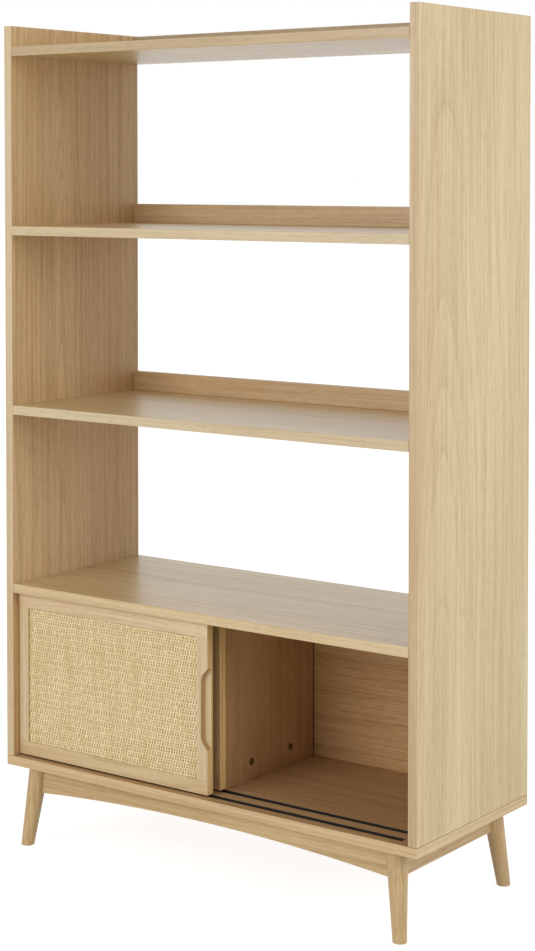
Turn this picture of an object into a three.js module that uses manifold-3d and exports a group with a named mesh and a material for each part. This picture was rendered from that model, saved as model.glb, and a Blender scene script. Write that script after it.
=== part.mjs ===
// A free-standing oak bookcase: three open shelves over a cabinet with two sliding doors of woven cane.
// Units are millimetres. X runs to the right, Y to the back and Z up. The origin is on the floor, under the
// middle of the case. The doors are at the left end of their tracks, where both of them stand at rest.

import * as THREE from "three";
import { mergeVertices } from "three/addons/utils/BufferGeometryUtils.js";
import Module from "manifold-3d";

const wasm = await Module();
wasm.setup();

// Case
const CASE_WIDTH = 1000;
const CASE_DEPTH = 400;
const OVERALL_HEIGHT = 1685;
const BOARD_THICKNESS = 19;
const FRAME_HEIGHT = 163.5; // the leg frame, from the floor to the underside of the base board
const CABINET_CLEAR = 339.5; // clear height inside the cabinet
const LOWER_BAY_CLEAR = 349; // clear heights of the open bays; the upper one takes what is left
const MIDDLE_BAY_CLEAR = 349;
const SIDE_LIP = 42.5; // the side panels' height above the upper shelf
const RAIL_HEIGHT = 41;
const RAIL_THICKNESS = 15;

// Cabinet inside
const BACK_INSET = 9; // the cabinet back's outer face, in from the back edges
const BACK_THICKNESS = 15;
const DIVIDER_DOOR_GAP = 5; // from the rear door's back to the divider's front edge

// Cam locks in the divider
const CAM_DIAMETER = 15;
const CAM_DEPTH = 12;
const CAM_HEIGHT = 35; // centre above the base board
const CAM_FRONT_INSET = 85.5; // centre behind the divider's front edge
const CAM_SPACING = 131.5;
const CAM_SLOT_LENGTH = 9;
const CAM_SLOT_WIDTH = 2;
const CAM_SLOT_DEPTH = 2;

// Leg frame
const LEG_TOP_DIAMETER = 41;
const LEG_FOOT_DIAMETER = 26.5;
const LEG_SIDE_INSET = 62; // leg axis at its top, in from the case's side
const LEG_FRONT_INSET = 31.5; // and in from its front or back
const LEG_SPLAY = 18; // how far the foot stands out from the top, in X and in Y alike
const APRON_THICKNESS = 18;
const APRON_END_HEIGHT = 53.5;
const ARCH_RISE = 19.5; // of the lower edge of the front and back aprons
const LONG_APRON_INSET = 24; // outer face, in from the case's front or back
const SIDE_APRON_INSET = 55; // outer face, in from the case's side
const BRACE_REACH = 52; // along each apron from the inner corner to the brace's outer face
const BRACE_THICKNESS = 20;
const BRACE_HEIGHT = 38;
const BOLT_DIAMETER = 8;
const BOLT_IN_LEG = 8; // how far the bolt goes past the leg's axis
const NUT_WIDTH = 14;
const NUT_HEIGHT = 7;
const BOLT_TAIL = 5; // beyond the nut
const FOOT_GLIDE_DIAMETER = 19;
const FOOT_GLIDE_THICKNESS = 4;
const FOOT_GLIDE_PROUD = 1;

// Tracks
const TRACK_WIDTH = 15;
const TRACK_DEPTH = 8;
const TRACK_WALL = 2;
const TRACK_FRONT_INSET = 21.25; // front edge of the front track, behind the case's front
const TRACK_SPACING = 40; // between the two tracks, and so between the two doors
const TRACK_END_MARGIN = 26; // from the track's end to the side panel

// Doors
const DOOR_OVERLAP = 27; // of the two doors, when both are closed
const DOOR_THICKNESS = 18;
const DOOR_FRONT_INSET = 16; // front door's face, behind the case's front
const DOOR_SIDE_GAP = 0.5;
const DOOR_FOOT_GAP = 2;
const DOOR_HEAD_GAP = 2;
const STILE_WIDTH = 26.5;
const DOOR_RAIL_WIDTH = 29;
const PANEL_RECESS = 3; // cane panel's face, behind the door's face
const CANE_THICKNESS = 2;
const BACKING_THICKNESS = 4;
const GROOVE_DEPTH = 8;
const PANEL_GAP = 0.5; // between the panels' edges and the bottom of the grooves

// Finger pull, cut into the outer edge of one stile of each door
const PULL_WIDTH = 15.5;
const PULL_DEPTH = 12;
const PULL_OUTER_LENGTH = 158;
const PULL_INNER_LENGTH = 124;
const PULL_ROUNDING = 9;

// Glides under the doors and guide pins on top of them
const GLIDE_LENGTH = 24;
const GLIDE_STEM_WIDTH = 6;
const GLIDE_STEM_HEIGHT = 10;
const GLIDE_INSET = 45; // centre, from the door's outer edge
const GLIDE_SIDE_GAP = 0.5; // to each wall of the track
const PIN_STEM_DIAMETER = 8;
const PIN_STEM_LENGTH = 14;
const PIN_ENGAGEMENT = 4.5; // how far the pin's head stands in the top track

// Clearances and how finely round pieces are divided
const FIT = 0.3; // around every piece let into another, and under what slides
const OVERRUN = 2; // how far a cutter runs past the face that it cuts
const LEG_SIDES = 40;
const ROUND_SIDES = 24;
const ARC_STEPS = 24;
const CORNER_STEPS = 5;

// Heights and faces that several pieces share
const half = (length) => length / 2;
const baseTop = FRAME_HEIGHT + BOARD_THICKNESS;
const cabinetCeiling = baseTop + CABINET_CLEAR;
const cabinetTopFace = cabinetCeiling + BOARD_THICKNESS;
const lowerShelf = cabinetTopFace + LOWER_BAY_CLEAR; // the underside of each shelf
const middleShelf = lowerShelf + BOARD_THICKNESS + MIDDLE_BAY_CLEAR;
const upperShelf = OVERALL_HEIGHT - SIDE_LIP - BOARD_THICKNESS;
const front = -half(CASE_DEPTH);
const back = half(CASE_DEPTH);
const innerHalf = half(CASE_WIDTH) - BOARD_THICKNESS;
const backPanelFace = back - BACK_INSET - BACK_THICKNESS;

const doorWidth = innerHalf + half(DOOR_OVERLAP);
const doorFoot = baseTop + DOOR_FOOT_GAP;
const doorHeight = CABINET_CLEAR - DOOR_FOOT_GAP - DOOR_HEAD_GAP;
const frontDoorFace = front + DOOR_FRONT_INSET;
const rearDoorFace = frontDoorFace + TRACK_SPACING;
const trackCentre = front + TRACK_FRONT_INSET + half(TRACK_WIDTH);
const trackLength = innerHalf + innerHalf - TRACK_END_MARGIN - TRACK_END_MARGIN;
const dividerFront = rearDoorFace + DOOR_THICKNESS + DIVIDER_DOOR_GAP;

const finish = (color, roughness, metalness) => new THREE.MeshStandardMaterial({ color, roughness, metalness });
const oakBoard = finish(0xcbae84, 0.5, 0);
const oakTurned = finish(0xc4a274, 0.45, 0);
const doorOak = finish(0xcdb28b, 0.5, 0);
const wovenCane = finish(0xdcc791, 0.7, 0);
const backingBoard = finish(0xb9986a, 0.65, 0);
const blackPlastic = finish(0x1d1f1f, 0.4, 0);
const greyNylon = finish(0x6f6b64, 0.6, 0);
const zincSteel = finish(0x8d8a7e, 0.4, 1);

const bookcase = new THREE.Group();

function add(name, geometry, material, parent = bookcase) {
  const mesh = new THREE.Mesh(geometry, material);
  mesh.name = name;
  parent.add(mesh);
}

// A box between two opposite corners.
function block(corner, opposite) {
  const size = opposite.map((value, axis) => Math.abs(value - corner[axis]));
  const centre = opposite.map((value, axis) => half(value + corner[axis]));
  return new THREE.BoxGeometry(...size).translate(...centre);
}

// A round bar along the line from one point to another, which may taper.
function bar(from, to, startDiameter, endDiameter, sides) {
  const start = new THREE.Vector3(...from);
  const along = new THREE.Vector3(...to).sub(start);
  const turn = new THREE.Quaternion().setFromUnitVectors(new THREE.Vector3(0, 1, 0), along.clone().normalize());
  return new THREE.CylinderGeometry(half(endDiameter), half(startDiameter), along.length(), sides)
    .applyQuaternion(turn)
    .translate(...start.add(along.divideScalar(2)).toArray());
}

// An outline in X and Z, pushed back along Y from the plane y = 0.
function upright(shape, thickness, steps = ARC_STEPS) {
  return new THREE.ExtrudeGeometry(shape, { depth: thickness, bevelEnabled: false, curveSegments: steps })
    .rotateX(Math.PI / 2)
    .translate(0, thickness, 0);
}

function solid(geometry) {
  const bare = new THREE.BufferGeometry().setAttribute("position", geometry.getAttribute("position"));
  if (geometry.index) bare.setIndex(geometry.index);
  const merged = mergeVertices(bare);
  const vertProperties = new Float32Array(merged.getAttribute("position").array);
  return new wasm.Manifold(new wasm.Mesh({ numProp: 3, vertProperties, triVerts: new Uint32Array(merged.index.array) }));
}

function surface(manifold) {
  const { vertProperties, triVerts } = manifold.getMesh();
  const geometry = new THREE.BufferGeometry();
  geometry.setAttribute("position", new THREE.BufferAttribute(new Float32Array(vertProperties), 3));
  geometry.setIndex(new THREE.BufferAttribute(new Uint32Array(triVerts), 1));
  const faceted = geometry.toNonIndexed();
  faceted.computeVertexNormals();
  return faceted;
}

const cut = (body, ...cutters) => surface(cutters.reduce((rest, tool) => rest.subtract(solid(tool)), solid(body)));
const keep = (body, within) => surface(solid(body).intersect(solid(within)));
const join = (first, second) => surface(solid(first).add(solid(second)));

// Case: boards butted edge to face, flush at the front and at the back
const sides = [["left", -1], ["right", 1]];
const ends = [["front", -1], ["back", 1]];

for (const [side, sign] of sides)
  add(
    `side_panel_${side}`,
    block([sign * innerHalf, front, baseTop], [sign * half(CASE_WIDTH), back, OVERALL_HEIGHT]),
    oakBoard,
  );

function between(low, high, frontFace = front, backFace = back) {
  return block([-innerHalf, frontFace, low], [innerHalf, backFace, high]);
}

for (const [level, underside] of [["lower", lowerShelf], ["middle", middleShelf], ["upper", upperShelf]]) {
  const shelfTop = underside + BOARD_THICKNESS;
  add(`shelf_${level}`, between(underside, shelfTop), oakBoard);
  add(`rail_${level}`, between(shelfTop, shelfTop + RAIL_HEIGHT, back - RAIL_THICKNESS), oakBoard);
}

// Tracks: black channels let flush into the base board and, upside down, into the underside of the cabinet top
const tracks = [["front", trackCentre], ["rear", trackCentre + TRACK_SPACING]];

function trackBlock(centre, width, mouth, depth, length) {
  return block(
    [-half(length), centre - half(width), mouth],
    [half(length), centre + half(width), mouth + depth],
  );
}

function channel(centre, mouth, up) {
  const outside = trackBlock(centre, TRACK_WIDTH, mouth, up * TRACK_DEPTH, trackLength);
  const innerDepth = TRACK_DEPTH - TRACK_WALL + OVERRUN;
  const innerWidth = TRACK_WIDTH - TRACK_WALL - TRACK_WALL;
  const inside = trackBlock(centre, innerWidth, mouth - up * OVERRUN, up * innerDepth, trackLength + OVERRUN);
  return cut(outside, inside);
}

function trackGrooves(mouth, up) {
  const depth = TRACK_DEPTH + OVERRUN;
  return tracks.map(([, centre]) => trackBlock(centre, TRACK_WIDTH, mouth - up * OVERRUN, up * depth, trackLength));
}

const basePlank = block([-half(CASE_WIDTH), front, FRAME_HEIGHT], [half(CASE_WIDTH), back, baseTop]);
add("base_board", cut(basePlank, ...trackGrooves(baseTop, -1)), oakBoard);
add("cabinet_top", cut(between(cabinetCeiling, cabinetTopFace), ...trackGrooves(cabinetCeiling, 1)), oakBoard);
for (const [place, centre] of tracks) {
  add(`track_bottom_${place}`, channel(centre, baseTop, -1), blackPlastic);
  add(`track_top_${place}`, channel(centre, cabinetCeiling, 1), blackPlastic);
}

// Cabinet inside: a back panel, and a divider held down by two cam locks
const dividerFace = half(BOARD_THICKNESS);
const camFront = dividerFront + CAM_FRONT_INSET;
const camPlaces = [["front", camFront], ["rear", camFront + CAM_SPACING]];
const camHeight = baseTop + CAM_HEIGHT;

function camHole(y) {
  const bottom = [dividerFace - CAM_DEPTH - FIT, y, camHeight];
  const diameter = CAM_DIAMETER + FIT + FIT;
  return bar(bottom, [dividerFace + OVERRUN, y, camHeight], diameter, diameter, ROUND_SIDES);
}

function camSlot(y) {
  return block(
    [dividerFace - CAM_SLOT_DEPTH, y - half(CAM_SLOT_WIDTH), camHeight - half(CAM_SLOT_LENGTH)],
    [dividerFace + OVERRUN, y + half(CAM_SLOT_WIDTH), camHeight + half(CAM_SLOT_LENGTH)],
  );
}

add("cabinet_back", between(baseTop, cabinetCeiling, backPanelFace, backPanelFace + BACK_THICKNESS), oakBoard);
const dividerPlank = block([-dividerFace, dividerFront, baseTop], [dividerFace, backPanelFace, cabinetCeiling]);
add("cabinet_divider", cut(dividerPlank, ...camPlaces.map(([, y]) => camHole(y))), oakBoard);
for (const [place, y] of camPlaces) {
  const low = [dividerFace - CAM_DEPTH, y, camHeight];
  const barrel = bar(low, [dividerFace, y, camHeight], CAM_DIAMETER, CAM_DIAMETER, ROUND_SIDES);
  add(`cam_lock_${place}`, cut(barrel, camSlot(y)), zincSteel);
}

// Leg frame. Each leg is a taper on a leaning axis, cut off level at the top and at the foot.
const legTopX = half(CASE_WIDTH) - LEG_SIDE_INSET;
const legTopY = half(CASE_DEPTH) - LEG_FRONT_INSET;
const longApronInner = half(CASE_DEPTH) - LONG_APRON_INSET - APRON_THICKNESS;
const sideApronInner = half(CASE_WIDTH) - SIDE_APRON_INSET - APRON_THICKNESS;
const boltHeight = FRAME_HEIGHT - half(BRACE_HEIGHT);
const corners = ends.flatMap(([end, sy]) => sides.map(([side, sx]) => ({ name: `${end}_${side}`, sx, sy })));

// A point on a leg's axis, at a share of the way down from its top to the floor.
function onAxis({ sx, sy }, share) {
  const out = LEG_SPLAY * share;
  return [sx * (legTopX + out), sy * (legTopY + out), FRAME_HEIGHT * (1 - share)];
}

function legTaper(corner, clearance) {
  const pastEnd = half(LEG_TOP_DIAMETER) / FRAME_HEIGHT;
  const taper = (LEG_TOP_DIAMETER - LEG_FOOT_DIAMETER) * pastEnd;
  const top = LEG_TOP_DIAMETER + taper + clearance + clearance;
  const foot = LEG_FOOT_DIAMETER - taper + clearance + clearance;
  return bar(onAxis(corner, -pastEnd), onAxis(corner, 1 + pastEnd), top, foot, LEG_SIDES);
}

// A point on the bolt's level line, which runs through the leg's axis and straight towards the middle of the frame.
function onBolt(corner, distance) {
  const [x, y] = onAxis(corner, 1 - boltHeight / FRAME_HEIGHT);
  const step = distance * Math.SQRT1_2;
  return [x - corner.sx * step, y - corner.sy * step, boltHeight];
}

const [boltX, boltY] = onAxis({ sx: 1, sy: 1 }, 1 - boltHeight / FRAME_HEIGHT);
const axisToInnerCorner = half(boltX - sideApronInner + boltY - longApronInner) * Math.SQRT2;
const nutSeat = axisToInnerCorner + BRACE_REACH * Math.SQRT1_2 + BRACE_THICKNESS + FIT;
const boltEnd = nutSeat + NUT_HEIGHT + BOLT_TAIL;

function boltHole(corner) {
  const diameter = BOLT_DIAMETER + FIT + FIT;
  return bar(onBolt(corner, -BOLT_IN_LEG - FIT), onBolt(corner, boltEnd), diameter, diameter, ROUND_SIDES);
}

function footHole(corner) {
  const [x, y] = onAxis(corner, 1);
  const diameter = FOOT_GLIDE_DIAMETER + FIT + FIT;
  return bar([x, y, -OVERRUN], [x, y, FOOT_GLIDE_THICKNESS + FIT], diameter, diameter, ROUND_SIDES);
}

for (const corner of corners) {
  const { name, sx, sy } = corner;
  const [footX, footY] = onAxis(corner, 1);
  const legRoom = block([0, 0, FOOT_GLIDE_PROUD], [sx * CASE_WIDTH, sy * CASE_DEPTH, FRAME_HEIGHT - FIT]);
  const leg = keep(legTaper(corner, 0), legRoom);
  add(`leg_${name}`, cut(leg, boltHole(corner), footHole(corner)), oakTurned);

  const glideTop = [footX, footY, FOOT_GLIDE_THICKNESS];
  const glide = bar([footX, footY, 0], glideTop, FOOT_GLIDE_DIAMETER, FOOT_GLIDE_DIAMETER, ROUND_SIDES);
  add(`foot_glide_${name}`, glide, greyNylon);

  const reach = BRACE_REACH + BRACE_THICKNESS * Math.SQRT2;
  const brace = new THREE.Shape([
    new THREE.Vector2(sx * sideApronInner, sy * (longApronInner - BRACE_REACH)),
    new THREE.Vector2(sx * (sideApronInner - BRACE_REACH), sy * longApronInner),
    new THREE.Vector2(sx * (sideApronInner - reach), sy * longApronInner),
    new THREE.Vector2(sx * sideApronInner, sy * (longApronInner - reach)),
  ]);
  const braceBlock = new THREE.ExtrudeGeometry(brace, { depth: BRACE_HEIGHT, bevelEnabled: false });
  braceBlock.translate(0, 0, FRAME_HEIGHT - BRACE_HEIGHT);
  add(`corner_brace_${name}`, cut(braceBlock, boltHole(corner)), backingBoard);

  const rod = bar(onBolt(corner, -BOLT_IN_LEG), onBolt(corner, boltEnd), BOLT_DIAMETER, BOLT_DIAMETER, ROUND_SIDES);
  const acrossCorners = NUT_WIDTH / Math.cos(Math.PI / 6);
  const nut = bar(onBolt(corner, nutSeat), onBolt(corner, nutSeat + NUT_HEIGHT), acrossCorners, acrossCorners, 6);
  add(`leg_bolt_${name}`, join(rod, nut), zincSteel);
}

const legRoomCutters = corners.flatMap((corner) => [legTaper(corner, FIT), boltHole(corner)]);

// The front and back aprons rise in one shallow arc, and reach to the side aprons' inner faces. The side aprons
// are straight. Both kinds are coped round the legs.
function archedApron() {
  const radius = (sideApronInner ** 2 + ARCH_RISE ** 2) / (ARCH_RISE + ARCH_RISE);
  const spread = Math.asin(sideApronInner / radius);
  const shape = new THREE.Shape();
  shape.moveTo(-sideApronInner, 0);
  shape.lineTo(-sideApronInner, -APRON_END_HEIGHT);
  const crown = ARCH_RISE - APRON_END_HEIGHT;
  shape.absarc(0, crown - radius, radius, Math.PI / 2 + spread, Math.PI / 2 - spread, true);
  shape.lineTo(sideApronInner, 0);
  return upright(shape, APRON_THICKNESS);
}

for (const [end, sign] of ends) {
  const nearFace = sign < 0 ? -longApronInner - APRON_THICKNESS : longApronInner;
  add(`apron_${end}`, cut(archedApron().translate(0, nearFace, FRAME_HEIGHT), ...legRoomCutters), oakTurned);
}
for (const [side, sign] of sides) {
  const plank = block(
    [sign * sideApronInner, -legTopY, FRAME_HEIGHT - APRON_END_HEIGHT],
    [sign * (sideApronInner + APRON_THICKNESS), legTopY, FRAME_HEIGHT],
  );
  add(`apron_${side}`, cut(plank, ...legRoomCutters), oakTurned);
}

// Doors. Each is built from its own lower left front corner, with the cane and its backing in one groove.
const footDrop = DOOR_FOOT_GAP + TRACK_DEPTH - TRACK_WALL - FIT;
const runnerWidth = TRACK_WIDTH - TRACK_WALL - TRACK_WALL - GLIDE_SIDE_GAP - GLIDE_SIDE_GAP;
const runnerCentre = trackCentre - frontDoorFace;
const runnerPlaces = [["left", GLIDE_INSET], ["right", doorWidth - GLIDE_INSET]];
const grooveBack = PANEL_RECESS + CANE_THICKNESS + BACKING_THICKNESS;

// The finger pull's pocket, on the left edge of a door: X runs inwards from the edge, Z up from the door's middle.
function pullPocket() {
  const outer = half(PULL_OUTER_LENGTH);
  const inner = half(PULL_INNER_LENGTH);
  const slope = new THREE.Vector2(PULL_WIDTH, outer - inner).normalize().multiplyScalar(PULL_ROUNDING);
  const shape = new THREE.Shape();
  shape.moveTo(-OVERRUN, -outer);
  shape.lineTo(0, -outer);
  shape.lineTo(PULL_WIDTH - slope.x, -inner - slope.y);
  shape.quadraticCurveTo(PULL_WIDTH, -inner, PULL_WIDTH, PULL_ROUNDING - inner);
  shape.lineTo(PULL_WIDTH, inner - PULL_ROUNDING);
  shape.quadraticCurveTo(PULL_WIDTH, inner, PULL_WIDTH - slope.x, inner + slope.y);
  shape.lineTo(0, outer);
  shape.lineTo(-OVERRUN, outer);
  return upright(shape, PULL_DEPTH + OVERRUN, CORNER_STEPS).translate(0, -OVERRUN, 0);
}

function stile(isRight, hasPull) {
  const from = isRight ? doorWidth - STILE_WIDTH : 0;
  const plank = block(
    [from, 0, DOOR_RAIL_WIDTH],
    [from + STILE_WIDTH, DOOR_THICKNESS, doorHeight - DOOR_RAIL_WIDTH],
  );
  const innerEdge = isRight ? from : STILE_WIDTH;
  const inwards = isRight ? 1 : -1;
  const groove = block(
    [innerEdge + inwards * GROOVE_DEPTH, PANEL_RECESS, DOOR_RAIL_WIDTH - OVERRUN],
    [innerEdge - inwards * OVERRUN, grooveBack, doorHeight - DOOR_RAIL_WIDTH + OVERRUN],
  );
  if (!hasPull) return cut(plank, groove);
  const pocket = pullPocket();
  if (isRight) pocket.rotateZ(Math.PI).translate(doorWidth, PULL_DEPTH - OVERRUN, 0);
  return cut(plank, groove, pocket.translate(0, 0, half(doorHeight)));
}

function doorRail(isTop) {
  const from = isTop ? doorHeight - DOOR_RAIL_WIDTH : 0;
  const plank = block([0, 0, from], [doorWidth, DOOR_THICKNESS, from + DOOR_RAIL_WIDTH]);
  const innerEdge = isTop ? from : DOOR_RAIL_WIDTH;
  const inwards = isTop ? 1 : -1;
  const grooveEnd = STILE_WIDTH - GROOVE_DEPTH;
  const groove = block(
    [grooveEnd, PANEL_RECESS, innerEdge + inwards * GROOVE_DEPTH],
    [doorWidth - grooveEnd, grooveBack, innerEdge - inwards * OVERRUN],
  );
  const holes = runnerPlaces.map(([, x]) => (isTop ? pinHole(x) : glideMortise(x)));
  return cut(plank, groove, ...holes);
}

function glideMortise(x) {
  const halfLength = half(GLIDE_LENGTH) + FIT;
  const halfWidth = half(GLIDE_STEM_WIDTH) + FIT;
  return block(
    [x - halfLength, runnerCentre - halfWidth, -OVERRUN],
    [x + halfLength, runnerCentre + halfWidth, GLIDE_STEM_HEIGHT + FIT],
  );
}

function doorGlide(x) {
  const piece = (width, top) =>
    block(
      [x - half(GLIDE_LENGTH), runnerCentre - half(width), -footDrop],
      [x + half(GLIDE_LENGTH), runnerCentre + half(width), top],
    );
  return join(piece(runnerWidth, 0), piece(GLIDE_STEM_WIDTH, GLIDE_STEM_HEIGHT));
}

function pinHole(x) {
  const diameter = PIN_STEM_DIAMETER + FIT + FIT;
  const bottom = [x, runnerCentre, doorHeight - PIN_STEM_LENGTH - FIT];
  return bar(bottom, [x, runnerCentre, doorHeight + OVERRUN], diameter, diameter, ROUND_SIDES);
}

// A guide pin: a stem in the rail and a wider head, chamfered down to the stem's size.
function guidePin(x) {
  const stem = half(PIN_STEM_DIAMETER);
  const head = half(runnerWidth);
  const headTop = DOOR_HEAD_GAP + PIN_ENGAGEMENT;
  const profile = [
    [0, -PIN_STEM_LENGTH],
    [stem, -PIN_STEM_LENGTH],
    [stem, 0],
    [head, 0],
    [head, headTop - head + stem],
    [stem, headTop],
    [0, headTop],
  ].map(([radius, height]) => new THREE.Vector2(radius, height));
  return new THREE.LatheGeometry(profile, ROUND_SIDES)
    .rotateX(Math.PI / 2)
    .translate(x, runnerCentre, doorHeight);
}

function panel(frontFace, thickness) {
  const edge = GROOVE_DEPTH - PANEL_GAP;
  return block(
    [STILE_WIDTH - edge, frontFace, DOOR_RAIL_WIDTH - edge],
    [doorWidth - STILE_WIDTH + edge, frontFace + thickness, doorHeight - DOOR_RAIL_WIDTH + edge],
  );
}

function addDoor(name, face, pullIsRight) {
  const leaf = new THREE.Group();
  leaf.position.set(DOOR_SIDE_GAP - innerHalf, face, doorFoot);
  bookcase.add(leaf);
  const piece = (label, geometry, material) => add(`${name}_${label}`, geometry, material, leaf);
  for (const isRight of [false, true])
    piece(isRight ? "stile_right" : "stile_left", stile(isRight, isRight === pullIsRight), doorOak);
  piece("rail_top", doorRail(true), doorOak);
  piece("rail_bottom", doorRail(false), doorOak);
  piece("cane_panel", panel(PANEL_RECESS, CANE_THICKNESS), wovenCane);
  piece("backing", panel(PANEL_RECESS + CANE_THICKNESS, BACKING_THICKNESS), backingBoard);
  for (const [side, x] of runnerPlaces) {
    piece(`glide_${side}`, doorGlide(x), blackPlastic);
    piece(`guide_pin_${side}`, guidePin(x), blackPlastic);
  }
}

addDoor("front_door", frontDoorFace, true);
addDoor("rear_door", rearDoorFace, false);

export default bookcase;
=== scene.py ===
# %% [markdown]
# # A bookcase with two sliding cane doors
# The object is a light oak bookcase, 1.0 m wide and 1.685 m high, on a frame with four turned, leaning
# legs. Three open bays stand above a cabinet, and the cabinet has two sliding doors of woven cane in oak
# frames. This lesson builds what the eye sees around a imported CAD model, the frame. The frame gives each
# piece its place and size in metres, so no piece is fitted by eye. A part that the frame already has is
# rebuilt here only where it gains something: softened edges, a turned leg with a smooth side, a cane
# panel that is really woven.

# %% Load the frame
import math

import bpy
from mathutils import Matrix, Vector


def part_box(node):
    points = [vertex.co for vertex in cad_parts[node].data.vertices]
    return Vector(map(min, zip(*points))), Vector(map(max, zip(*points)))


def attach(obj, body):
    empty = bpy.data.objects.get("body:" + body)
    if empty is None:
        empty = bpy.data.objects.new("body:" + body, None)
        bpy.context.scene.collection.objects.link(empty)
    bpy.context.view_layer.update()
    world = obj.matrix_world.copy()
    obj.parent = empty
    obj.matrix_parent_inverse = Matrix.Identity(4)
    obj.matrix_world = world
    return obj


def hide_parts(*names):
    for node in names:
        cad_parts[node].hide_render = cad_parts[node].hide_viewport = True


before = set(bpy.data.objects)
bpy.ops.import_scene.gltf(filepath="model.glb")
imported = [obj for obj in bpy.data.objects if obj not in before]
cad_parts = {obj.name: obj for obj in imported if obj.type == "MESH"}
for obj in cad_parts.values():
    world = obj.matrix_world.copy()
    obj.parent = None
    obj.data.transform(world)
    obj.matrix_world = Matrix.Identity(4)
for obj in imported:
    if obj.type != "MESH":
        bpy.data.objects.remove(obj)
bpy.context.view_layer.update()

# %% [markdown]
# ## Small tools for working as by hand
# Blender's operators act on whatever is selected, so each step first clears the selection and then picks
# out the edges or faces it means, by their place or by the way they face. These few helpers do only that,
# so that the later cells read like a list of workshop steps.

# %% Selecting
MM = 0.001


def activate(*pieces):
    """Leaves only these pieces selected, the last of them active."""
    bpy.ops.object.select_all(action="DESELECT")
    for piece in pieces:
        piece.select_set(True)
    bpy.context.view_layer.objects.active = pieces[-1]


def choose(piece, kind, test):
    """Opens a piece in edit mode with those faces, edges or vertices selected that pass a test."""
    activate(piece)
    bpy.ops.object.mode_set(mode="EDIT")
    bpy.ops.mesh.select_mode(type=kind)
    bpy.ops.mesh.select_all(action="DESELECT")
    bpy.ops.object.mode_set(mode="OBJECT")
    mesh = piece.data
    if kind == "FACE":
        for face in mesh.polygons:
            face.select = test(face.center, face.normal)
    elif kind == "EDGE":
        for edge in mesh.edges:
            edge.select = test(*(mesh.vertices[index].co for index in edge.vertices))
    else:
        for vertex in mesh.vertices:
            vertex.select = test(vertex.co)
    bpy.ops.object.mode_set(mode="EDIT")


def choose_all(piece):
    """Opens a piece in edit mode with all of it selected."""
    activate(piece)
    bpy.ops.object.mode_set(mode="EDIT")
    bpy.ops.mesh.select_all(action="SELECT")


def done():
    """Goes back to object mode."""
    bpy.ops.object.mode_set(mode="OBJECT")


print("one millimetre is", MM, "m")


# %% Starting a piece
def settle(piece):
    """Moves a piece's place, turn and size into its mesh."""
    activate(piece)
    bpy.ops.object.transform_apply(location=True, rotation=True, scale=True)


def start(name, add, **how):
    """Adds one of Blender's primitives with nothing else selected, names it and settles it."""
    bpy.ops.object.select_all(action="DESELECT")
    add(**how)
    piece = bpy.context.object
    piece.name = piece.data.name = name
    settle(piece)
    return piece


def start_box(name, low, high):
    """A plain block between two opposite corners, to be shaped further."""
    low, high = Vector(low), Vector(high)
    return start(name, bpy.ops.mesh.primitive_cube_add, size=1, location=(low + high) / 2, scale=high - low)


def duplicate(piece, name):
    """A copy of a piece with a mesh of its own."""
    activate(piece)
    bpy.ops.object.duplicate(linked=False)
    copy = bpy.context.object
    copy.name = copy.data.name = name
    return copy


# %% Cutting and finishing
ARRIS = 0.8 * MM
SHARP, CREASE = math.radians(38), math.radians(50)


def apply_modifier(piece, kind, **settings):
    """Adds one modifier with its settings and applies it."""
    activate(piece)
    bpy.ops.object.modifier_add(type=kind)
    modifier = piece.modifiers[-1]
    for key, value in settings.items():
        setattr(modifier, key, value)
    bpy.ops.object.modifier_apply(modifier=modifier.name)


def split(piece, point, outward, **settings):
    """Cuts through a whole piece in the plane at a point, square to a direction."""
    choose_all(piece)
    bpy.ops.mesh.bisect(plane_co=point, plane_no=outward, **settings)
    done()


def carve(piece, tool):
    """Takes the shape of a tool out of a piece, and throws the tool away."""
    apply_modifier(piece, "BOOLEAN", operation="DIFFERENCE", solver="EXACT", object=tool)
    bpy.data.objects.remove(tool)


def ease_edges(piece, width=ARRIS, segments=3):
    """Rounds every sharp edge a little, as sandpaper does."""
    apply_modifier(piece, "BEVEL", width=width, segments=segments, limit_method="ANGLE", angle_limit=SHARP)


def smooth(piece):
    """Smooth shading that keeps corners crisp and flat faces flat to the light."""
    activate(piece)
    bpy.ops.object.shade_smooth_by_angle(angle=CREASE)
    apply_modifier(piece, "WEIGHTED_NORMAL", keep_sharp=True)


def soften(piece, width=ARRIS, segments=3):
    """Eased edges and smooth shading together."""
    ease_edges(piece, width, segments)
    smooth(piece)


print("arris", ARRIS, "m")


# %% [markdown]
# ## How a finish is wired
# A material is a small net of nodes. The helpers below add a node, fill or wire its inputs, and turn a
# colour as a paint chart gives it (0 to 255) into the linear numbers that Blender reckons with. Patterns
# are read from Object coordinates, in metres, so the same pattern runs through all of a piece and never
# stretches.

# %% Node helpers
def paint(red, green, blue):
    """A chart colour, 0 to 255, as Blender's linear red, green, blue and alpha."""
    linear = []
    for value in (red, green, blue):
        share = value / 255
        linear.append(share / 12.92 if share <= 0.04045 else ((share + 0.055) / 1.055) ** 2.4)
    return (*linear, 1.0)


def wire(tree, node, inputs):
    """Gives each named input of a node a number, a colour, or another node's output to be wired in."""
    for key, value in inputs.items():
        if isinstance(value, bpy.types.NodeSocket):
            tree.links.new(value, node.inputs[key])
        else:
            node.inputs[key].default_value = value


def put(tree, kind, inputs=None, **settings):
    """Adds a node to a tree, with its settings and inputs."""
    node = tree.nodes.new(kind)
    for key, value in settings.items():
        setattr(node, key, value)
    wire(tree, node, inputs or {})
    return node


def reckon(tree, operation, *values, clamp=False):
    """The result of one sum, such as ADD or MULTIPLY."""
    inputs = dict(enumerate(values))
    return put(tree, "ShaderNodeMath", inputs, operation=operation, use_clamp=clamp).outputs[0]


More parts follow.
